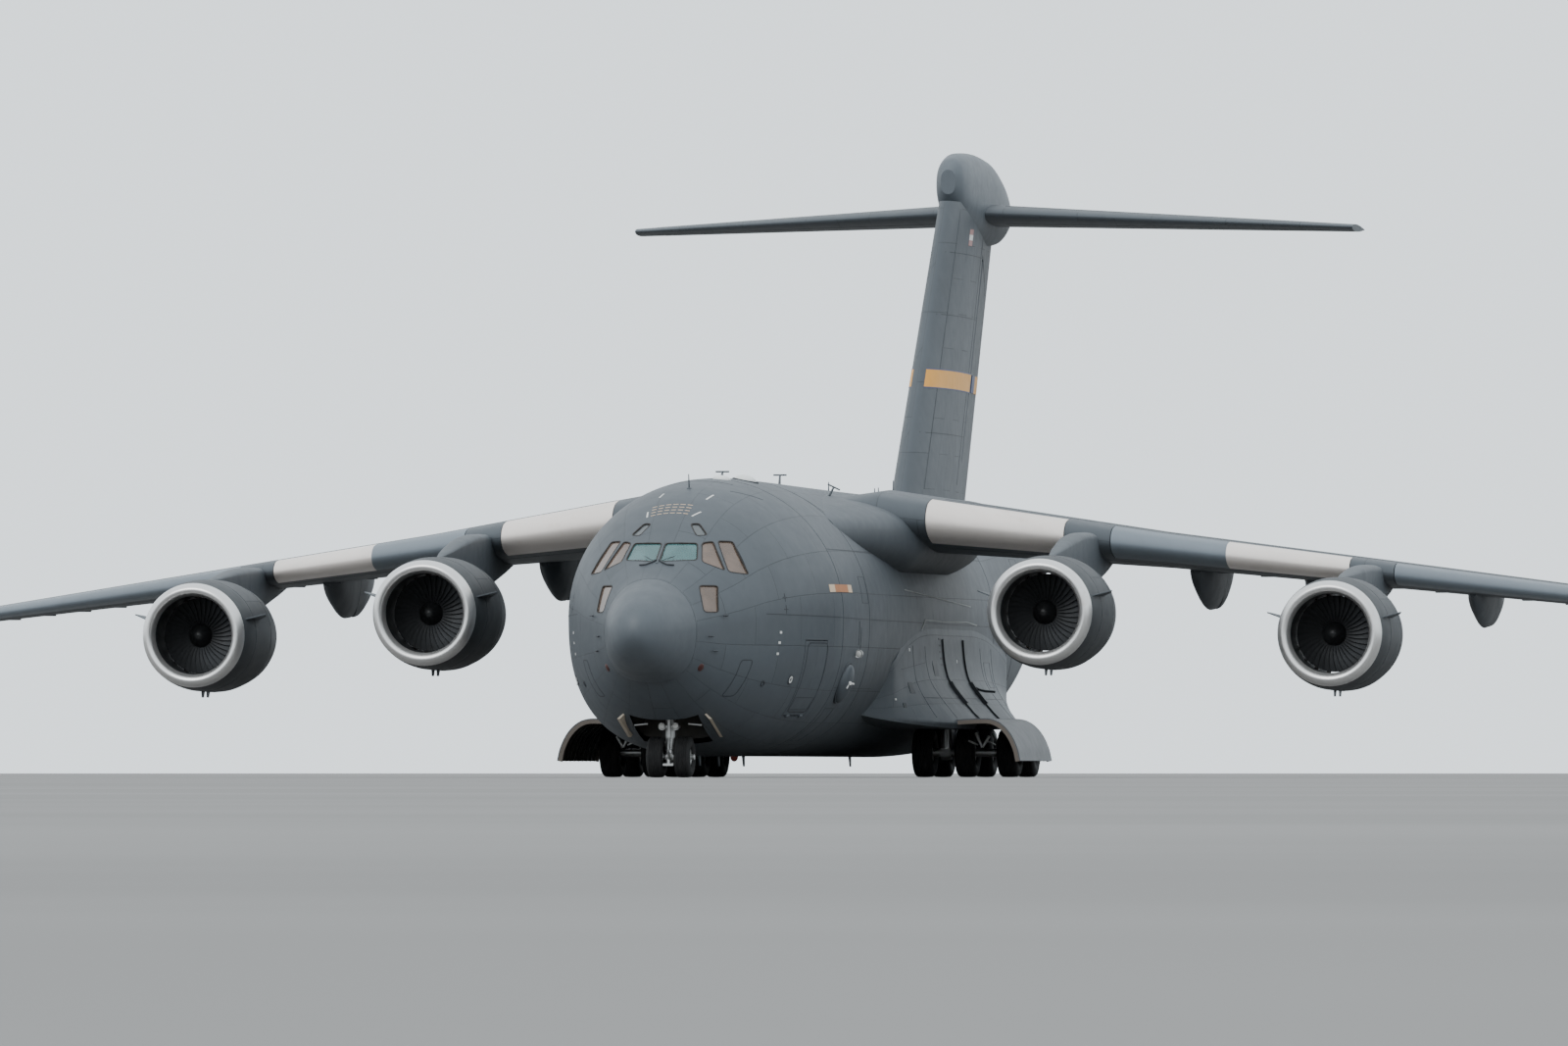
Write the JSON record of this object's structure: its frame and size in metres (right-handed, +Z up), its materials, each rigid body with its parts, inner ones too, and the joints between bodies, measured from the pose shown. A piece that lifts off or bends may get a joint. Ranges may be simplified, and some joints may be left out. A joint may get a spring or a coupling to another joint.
{
  "type": "military transport aircraft with jet engines, as a 1:2 scale model",
  "caption": "Scale model of a high-wing jet transport aircraft with a T-tail, underwing turbofans, opening crew and cargo doors, and wheeled gear.",
  "frame": {"origin": "the middle of the bounding box in plan, on the ground under the wheels", "axes": "+Y points aft along the fuselage, +X to port (the aircraft's left), +Z up"},
  "size_m": [25.875, 26.52, 8.395],
  "materials": {
    "hull_paint": "matte",
    "radome_paint": "matte",
    "composite": "matte",
    "cockpit_glass": "gloss",
    "dark_metal": "satin",
    "bare_steel": "satin",
    "gear_steel": "satin",
    "bare_slat": "satin",
    "primer": "matte",
    "tyre_rubber": "matte"
  },
  "bodies": {
    "airframe": {"radome": "radome_paint", "forward_fuselage": "hull_paint", "cockpit_glazing": "cockpit_glass", "flight_deck": "dark_metal", "centre_fuselage": "hull_paint", "cargo_floor": "bare_steel", "aft_fuselage": "hull_paint", "gear_pod_port": "hull_paint", "gear_pod_starboard": "hull_paint", "main_gear_door_port": "primer", "main_gear_door_starboard": "primer", "wing_port": "hull_paint", "wing_starboard": "hull_paint", "wing_fairing_port": "composite", "wing_fairing_starboard": "composite", "pylon_inboard_port": "hull_paint", "pylon_outboard_port": "hull_paint", "pylon_inboard_starboard": "hull_paint", "pylon_outboard_starboard": "hull_paint", "nacelle_inboard_port": "hull_paint", "nacelle_outboard_port": "hull_paint", "nacelle_inboard_starboard": "hull_paint", "nacelle_outboard_starboard": "hull_paint", "nose_gear_door_port": "primer", "nose_gear_door_starboard": "primer", "main_gear_legs_port": "gear_steel", "main_gear_legs_starboard": "gear_steel", "tail_bullet": "composite", "tailplane": "hull_paint", "fin": "hull_paint"},
    "nose_leg": {"nose_gear_leg": "gear_steel"},
    "nose_wheel_pair": {"nose_wheels": "tyre_rubber"},
    "wheels_front_port": {"main_wheels_front_port": "tyre_rubber"},
    "wheels_rear_port": {"main_wheels_rear_port": "tyre_rubber"},
    "wheels_front_starboard": {"main_wheels_front_starboard": "tyre_rubber"},
    "wheels_rear_starboard": {"main_wheels_rear_starboard": "tyre_rubber"},
    "crew_door_body": {"crew_door": "hull_paint"},
    "ramp_body": {"cargo_ramp": "hull_paint"},
    "cargo_door_body": {"cargo_door": "hull_paint"},
    "fan_1": {"fan_outboard_port": "dark_metal"},
    "fan_2": {"fan_inboard_port": "dark_metal"},
    "fan_3": {"fan_inboard_starboard": "dark_metal"},
    "fan_4": {"fan_outboard_starboard": "dark_metal"},
    "slat_body_inboard_port": {"slat_inboard_port": "bare_slat"},
    "slat_body_middle_port": {"slat_middle_port": "bare_slat"},
    "slat_body_outboard_port": {"slat_outboard_port": "bare_slat"},
    "slat_body_inboard_starboard": {"slat_inboard_starboard": "bare_slat"},
    "slat_body_middle_starboard": {"slat_middle_starboard": "bare_slat"},
    "slat_body_outboard_starboard": {"slat_outboard_starboard": "bare_slat"},
    "flap_body_inboard_port": {"flap_inboard_port": "composite"},
    "flap_body_outboard_port": {"flap_outboard_port": "composite"},
    "flap_body_inboard_starboard": {"flap_inboard_starboard": "composite"},
    "flap_body_outboard_starboard": {"flap_outboard_starboard": "composite"},
    "spoiler_body_port": {"spoiler_port": "composite"},
    "spoiler_body_starboard": {"spoiler_starboard": "composite"},
    "aileron_body_port": {"aileron_port": "composite"},
    "aileron_body_starboard": {"aileron_starboard": "composite"},
    "elevator_body_port": {"elevator_port": "composite"},
    "elevator_body_starboard": {"elevator_starboard": "composite"},
    "rudder_body": {"rudder": "composite"}
  },
  "joints": [
    {"name": "crew_door_hinge", "type": "hinge", "parent": "airframe", "child": "crew_door_body", "pos_m": [1.23, -9.3975, 0.755], "axis": [0.183, 0.9831, 0], "range_deg": [0, 112]},
    {"name": "cargo_ramp_hinge", "type": "hinge", "parent": "airframe", "child": "ramp_body", "pos_m": [0, 2.27, 0.33], "axis": [-1, 0, 0], "range_deg": [0, 11.5]},
    {"name": "cargo_door_hinge", "type": "hinge", "parent": "airframe", "child": "cargo_door_body", "pos_m": [0, 8.74, 2.03], "axis": [-1, 0, 0], "range_deg": [0, 38]},
    {"name": "nose_steering", "type": "hinge", "parent": "airframe", "child": "nose_leg", "pos_m": [0, -10.885, 0.6], "axis": [0, 0, 1], "range_deg": [-65, 65]},
    {"name": "nose_wheel_spin", "type": "hinge", "parent": "nose_leg", "child": "nose_wheel_pair", "pos_m": [0, -10.885, 0.24912], "axis": [1, 0, 0], "continuous": true},
    {"name": "front_port_wheel_spin", "type": "hinge", "parent": "airframe", "child": "wheels_front_port", "pos_m": [1.75, -1.51, 0.3114], "axis": [1, 0, 0], "continuous": true},
    {"name": "rear_port_wheel_spin", "type": "hinge", "parent": "airframe", "child": "wheels_rear_port", "pos_m": [1.75, -0.21, 0.3114], "axis": [1, 0, 0], "continuous": true},
    {"name": "front_starboard_wheel_spin", "type": "hinge", "parent": "airframe", "child": "wheels_front_starboard", "pos_m": [-1.75, -1.51, 0.3114], "axis": [1, 0, 0], "continuous": true},
    {"name": "rear_starboard_wheel_spin", "type": "hinge", "parent": "airframe", "child": "wheels_rear_starboard", "pos_m": [-1.75, -0.21, 0.3114], "axis": [1, 0, 0], "continuous": true},
    {"name": "fan_1_spin", "type": "hinge", "parent": "airframe", "child": "fan_1", "pos_m": [7.215, -4.725, 1.785], "axis": [0, 1, 0], "continuous": true},
    {"name": "fan_2_spin", "type": "hinge", "parent": "airframe", "child": "fan_2", "pos_m": [3.8725, -6.525, 2.04], "axis": [0, 1, 0], "continuous": true},
    {"name": "fan_3_spin", "type": "hinge", "parent": "airframe", "child": "fan_3", "pos_m": [-3.8725, -6.525, 2.04], "axis": [0, 1, 0], "continuous": true},
    {"name": "fan_4_spin", "type": "hinge", "parent": "airframe", "child": "fan_4", "pos_m": [-7.215, -4.725, 1.785], "axis": [0, 1, 0], "continuous": true},
    {"name": "slat_inboard_port_slide", "type": "slide", "parent": "airframe", "child": "slat_body_inboard_port", "axis": [0, -0.9659, -0.2588], "range_m": [0, 0.175]},
    {"name": "slat_middle_port_slide", "type": "slide", "parent": "airframe", "child": "slat_body_middle_port", "axis": [0, -0.9659, -0.2588], "range_m": [0, 0.175]},
    {"name": "slat_outboard_port_slide", "type": "slide", "parent": "airframe", "child": "slat_body_outboard_port", "axis": [0, -0.9659, -0.2588], "range_m": [0, 0.175]},
    {"name": "slat_inboard_starboard_slide", "type": "slide", "parent": "airframe", "child": "slat_body_inboard_starboard", "axis": [0, -0.9659, -0.2588], "range_m": [0, 0.175]},
    {"name": "slat_middle_starboard_slide", "type": "slide", "parent": "airframe", "child": "slat_body_middle_starboard", "axis": [0, -0.9659, -0.2588], "range_m": [0, 0.175]},
    {"name": "slat_outboard_starboard_slide", "type": "slide", "parent": "airframe", "child": "slat_body_outboard_starboard", "axis": [0, -0.9659, -0.2588], "range_m": [0, 0.175]},
    {"name": "flap_inboard_port_hinge", "type": "hinge", "parent": "airframe", "child": "flap_body_inboard_port", "pos_m": [3.3813, -0.5604, 2.3908], "axis": [0.9816, 0.1647, -0.0964], "range_deg": [-40, 0]},
    {"name": "flap_outboard_port_hinge", "type": "hinge", "parent": "airframe", "child": "flap_body_outboard_port", "pos_m": [6.855, 0.4149, 2.1336], "axis": [0.9403, 0.3256, -0.0996], "range_deg": [-40, 0]},
    {"name": "flap_inboard_starboard_hinge", "type": "hinge", "parent": "airframe", "child": "flap_body_inboard_starboard", "pos_m": [-3.3813, -0.5604, 2.3908], "axis": [0.9816, -0.1647, 0.0964], "range_deg": [-40, 0]},
    {"name": "flap_outboard_starboard_hinge", "type": "hinge", "parent": "airframe", "child": "flap_body_outboard_starboard", "pos_m": [-6.855, 0.4149, 2.1336], "axis": [0.9403, -0.3256, 0.0996], "range_deg": [-40, 0]},
    {"name": "spoiler_port_hinge", "type": "hinge", "parent": "airframe", "child": "spoiler_body_port", "pos_m": [6.5625, -0.0781, 2.7942], "axis": [0.9287, 0.3531, -0.1136], "range_deg": [0, 50]},
    {"name": "spoiler_starboard_hinge", "type": "hinge", "parent": "airframe", "child": "spoiler_body_starboard", "pos_m": [-6.5625, -0.0781, 2.7942], "axis": [0.9287, -0.3531, 0.1136], "range_deg": [0, 50]},
    {"name": "aileron_port_hinge", "type": "hinge", "parent": "airframe", "child": "aileron_body_port", "pos_m": [10.4875, 1.7152, 2.2147], "axis": [0.9422, 0.318, -0.1053], "range_deg": [-25, 25]},
    {"name": "aileron_starboard_hinge", "type": "hinge", "parent": "airframe", "child": "aileron_body_starboard", "pos_m": [-10.4875, 1.7152, 2.2147], "axis": [0.9422, -0.318, 0.1053], "range_deg": [-25, 25]},
    {"name": "elevator_port_hinge", "type": "hinge", "parent": "airframe", "child": "elevator_body_port", "pos_m": [2.5875, 12.5728, 7.5216], "axis": [0.9875, 0.155, -0.0299], "range_deg": [-15, 25]},
    {"name": "elevator_starboard_hinge", "type": "hinge", "parent": "airframe", "child": "elevator_body_starboard", "pos_m": [-2.5875, 12.5728, 7.5216], "axis": [0.9875, -0.155, 0.0299], "range_deg": [-15, 25]},
    {"name": "rudder_hinge", "type": "hinge", "parent": "airframe", "child": "rudder_body", "pos_m": [0, 9.7251, 5.5625], "axis": [0, 0.5604, 0.8282], "range_deg": [-25, 25]}
  ],
  "couplings": [
    {"joint": "slat_middle_port_slide", "follows": "slat_inboard_port_slide", "ratio": 1},
    {"joint": "slat_outboard_port_slide", "follows": "slat_inboard_port_slide", "ratio": 1},
    {"joint": "slat_inboard_starboard_slide", "follows": "slat_inboard_port_slide", "ratio": 1},
    {"joint": "slat_middle_starboard_slide", "follows": "slat_inboard_port_slide", "ratio": 1},
    {"joint": "slat_outboard_starboard_slide", "follows": "slat_inboard_port_slide", "ratio": 1},
    {"joint": "flap_outboard_port_hinge", "follows": "flap_inboard_port_hinge", "ratio": 1},
    {"joint": "flap_inboard_starboard_hinge", "follows": "flap_inboard_port_hinge", "ratio": 1},
    {"joint": "flap_outboard_starboard_hinge", "follows": "flap_inboard_port_hinge", "ratio": 1},
    {"joint": "aileron_starboard_hinge", "follows": "aileron_port_hinge", "ratio": -1},
    {"joint": "elevator_starboard_hinge", "follows": "elevator_port_hinge", "ratio": 1}
  ]
}
